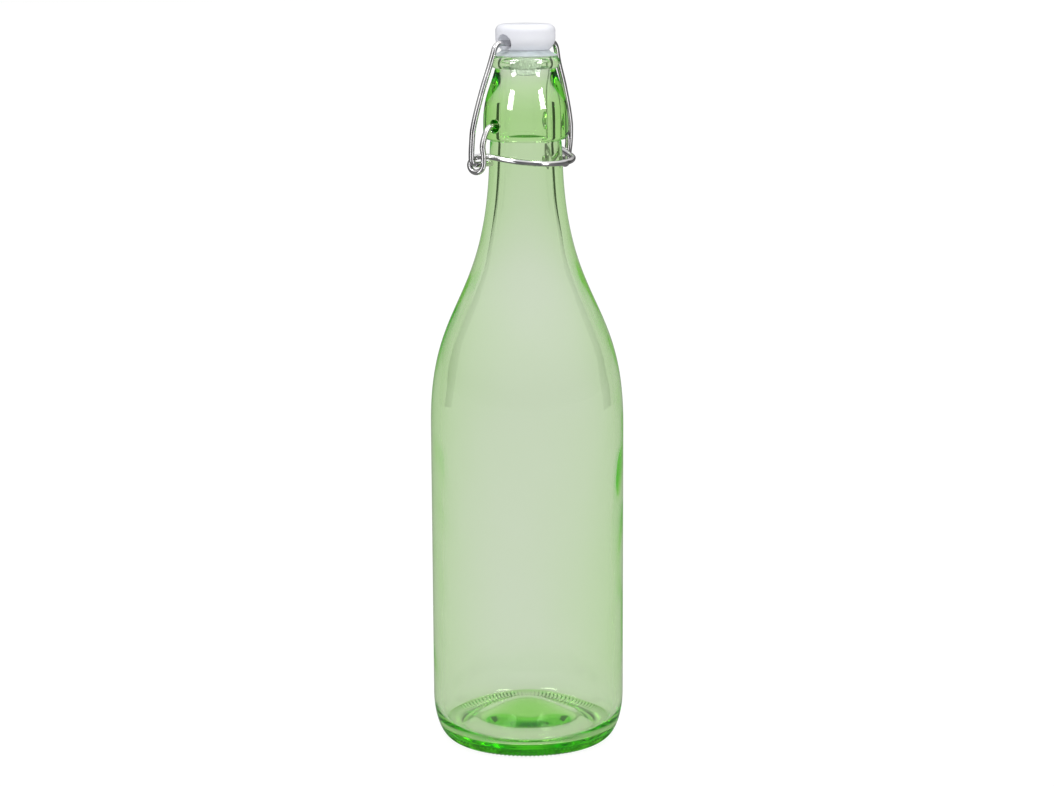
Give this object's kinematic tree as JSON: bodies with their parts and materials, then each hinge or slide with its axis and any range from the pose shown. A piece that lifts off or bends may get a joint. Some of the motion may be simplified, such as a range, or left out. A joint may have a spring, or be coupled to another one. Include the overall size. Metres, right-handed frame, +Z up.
{
  "type": "swing-top bottle",
  "caption": "Tall round glass bottle with a narrow neck, closed by a stopper with a rubber seal on a hinged wire clamp.",
  "frame": {"origin": "centre of the base, on the surface that the bottle stands on", "axes": "+Z up along the bottle's axis; the closure hinges about X; -Y is the front, where the lever's arc lifts to open"},
  "size_m": [0.085, 0.085, 0.3173],
  "materials": {
    "glass": "clear pale green, polished",
    "stopper_plastic": "satin white",
    "gasket_rubber": "milky translucent",
    "wire_steel": "polished"
  },
  "bodies": {
    "bottle": {"bottle_glass": "glass"},
    "lever": {"lever_bail": "wire_steel"},
    "bail": {"stopper_bail": "wire_steel"},
    "head": {"stopper": "stopper_plastic", "gasket": "gasket_rubber"}
  },
  "joints": [
    {"name": "lever_swing", "type": "hinge", "parent": "bottle", "child": "lever", "pos_m": [0, 0, 0.274], "axis": [-1, 0, 0], "range_deg": [0, 84]},
    {"name": "bail_swing", "type": "hinge", "parent": "lever", "child": "bail", "pos_m": [0, 0.003, 0.258], "axis": [-1, 0, 0], "range_deg": [-60, 0]},
    {"name": "stopper_tilt", "type": "hinge", "parent": "bail", "child": "head", "pos_m": [0, 0, 0.309], "axis": [-1, 0, 0], "range_deg": [-26, 0]}
  ],
  "couplings": [
    {"joint": "bail_swing", "follows": "lever_swing", "ratio": -0.7},
    {"joint": "stopper_tilt", "follows": "lever_swing", "ratio": -0.3}
  ]
}
